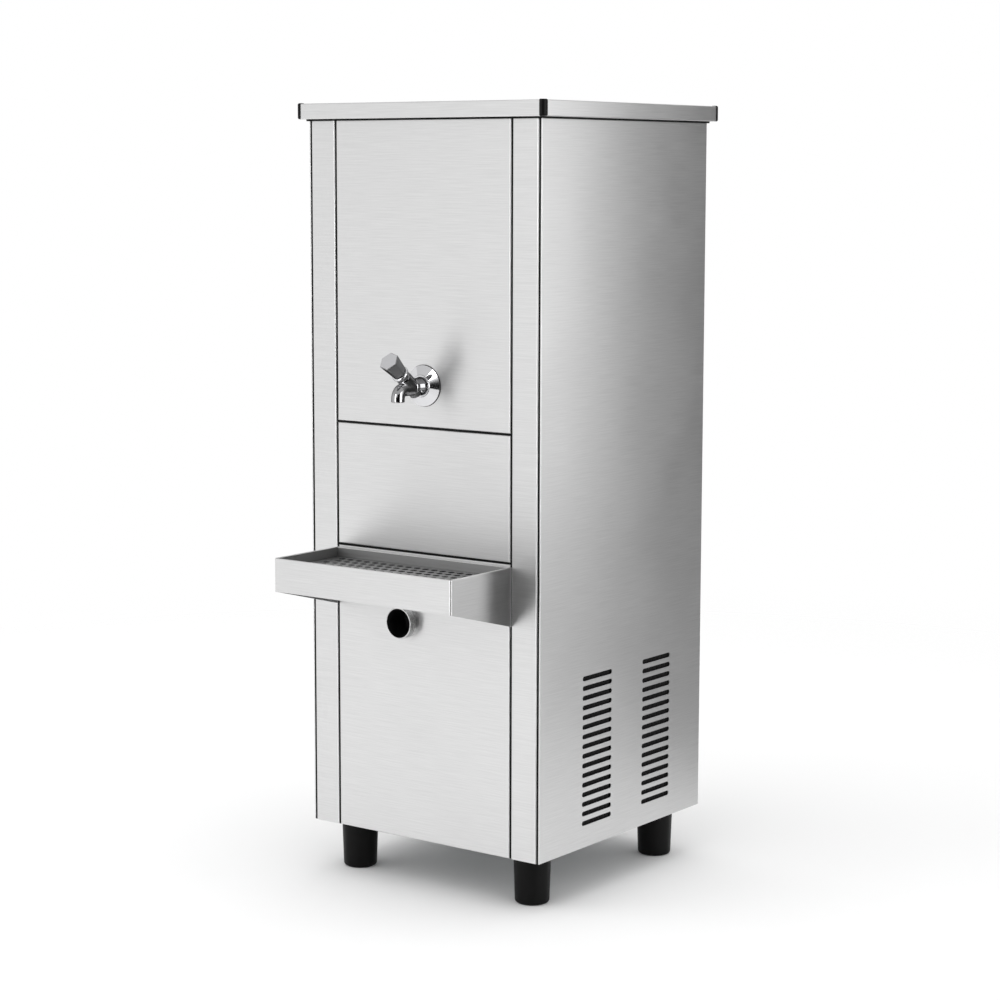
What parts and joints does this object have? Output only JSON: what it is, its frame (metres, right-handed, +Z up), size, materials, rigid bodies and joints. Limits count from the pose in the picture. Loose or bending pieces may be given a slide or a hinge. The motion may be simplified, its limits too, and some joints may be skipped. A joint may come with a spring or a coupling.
{
  "type": "floor-standing water cooler",
  "caption": "Floor-standing stainless-steel water cooler with a bib tap over a perforated drip tray, slotted side vents, a lift-off cover and black legs.",
  "frame": {"origin": "centre of the whole object's footprint, on the floor", "axes": "+Z up, -Y out of the front where the tap and tray are, +X to the right of someone facing the front"},
  "size_m": [0.428, 0.563, 1.1008],
  "materials": {
    "stainless_panel": "brushed",
    "stainless_tray": "brushed",
    "stainless_tank": "satin",
    "galvanised_sheet": "spangled zinc",
    "chrome": "polished",
    "brass": "machined",
    "copper": "drawn tube",
    "aluminium_fin": "plain",
    "black_plastic": "satin moulded",
    "black_rubber": "matte",
    "white_plastic": "moulded",
    "black_enamel": "semi-gloss paint",
    "zinc_screw": "zinc plated",
    "foam": "rigid foam"
  },
  "bodies": {
    "cabinet": {"left_side_panel": "stainless_panel", "right_side_panel": "stainless_panel", "left_front_post": "stainless_panel", "right_front_post": "stainless_panel", "upper_front_panel": "stainless_panel", "splash_panel": "stainless_panel", "lower_front_panel": "stainless_panel", "upper_rear_panel": "stainless_panel", "rear_grille": "stainless_panel", "drip_tray": "stainless_tray", "drain_outlet": "stainless_tray", "drain_elbow": "stainless_tray", "tank": "stainless_tank", "tank_lid": "stainless_tank", "base_pan": "galvanised_sheet", "middle_rail": "galvanised_sheet", "tray_rail": "galvanised_sheet", "tank_shelf": "galvanised_sheet", "fan_shroud": "galvanised_sheet", "tap_flange": "chrome", "tap_body": "chrome", "tap_bonnet": "chrome", "tap_backnut": "brass", "tap_supply_pipe": "brass", "float_valve": "brass", "inlet_connector": "brass", "condenser_tube": "copper", "discharge_pipe": "copper", "liquid_line": "copper", "suction_pipe": "copper", "filter_drier": "copper", "condenser_fins": "aluminium_fin", "evaporator": "aluminium_fin", "leg_front_left": "black_plastic", "leg_front_right": "black_plastic", "leg_rear_left": "black_plastic", "leg_rear_right": "black_plastic", "tap_nozzle": "black_plastic", "terminal_box": "black_plastic", "thermostat": "black_plastic", "cord_gland": "black_plastic", "tap_washer": "black_rubber", "compressor_grommets": "black_rubber", "compressor_lower_shell": "black_enamel", "compressor_upper_shell": "black_enamel", "fan_motor": "black_enamel", "leg_bolts": "zinc_screw", "rear_screws": "zinc_screw", "tray_screws": "zinc_screw", "tank_insulation": "foam"},
    "cover": {"top_cover": "stainless_panel", "cover_corner_caps": "black_plastic"},
    "tap_handle": {"tap_knob": "chrome", "tap_knob_disc": "chrome", "tap_spindle": "brass"},
    "grille": {"tray_grille": "stainless_tray"},
    "fan": {"fan_blade": "black_plastic"},
    "float": {"float_arm": "brass", "float_ball": "white_plastic"},
    "dial": {"thermostat_knob": "black_plastic"}
  },
  "joints": [
    {"name": "cover_lift", "type": "slide", "parent": "cabinet", "child": "cover", "axis": [0, 0, 1], "range_m": [0, 0.12]},
    {"name": "tap_turn", "type": "hinge", "parent": "cabinet", "child": "tap_handle", "pos_m": [0.004, -0.1745, 0.7149], "axis": [0, -0.7912, 0.6115], "range_deg": [0, 90]},
    {"name": "grille_lift", "type": "slide", "parent": "cabinet", "child": "grille", "axis": [0, 0, 1], "range_m": [0, 0.1]},
    {"name": "fan_spin", "type": "hinge", "parent": "cabinet", "child": "fan", "pos_m": [0.1448, 0.06649, 0.2095], "axis": [1, 0, 0], "continuous": true},
    {"name": "float_swing", "type": "hinge", "parent": "cabinet", "child": "float", "pos_m": [0, 0.1616, 1.009], "axis": [-1, 0, 0], "range_deg": [0, 35]},
    {"name": "dial_turn", "type": "hinge", "parent": "cabinet", "child": "dial", "pos_m": [-0.12, 0.2615, 0.8515], "axis": [0, 1, 0], "range_deg": [0, 270]}
  ]
}
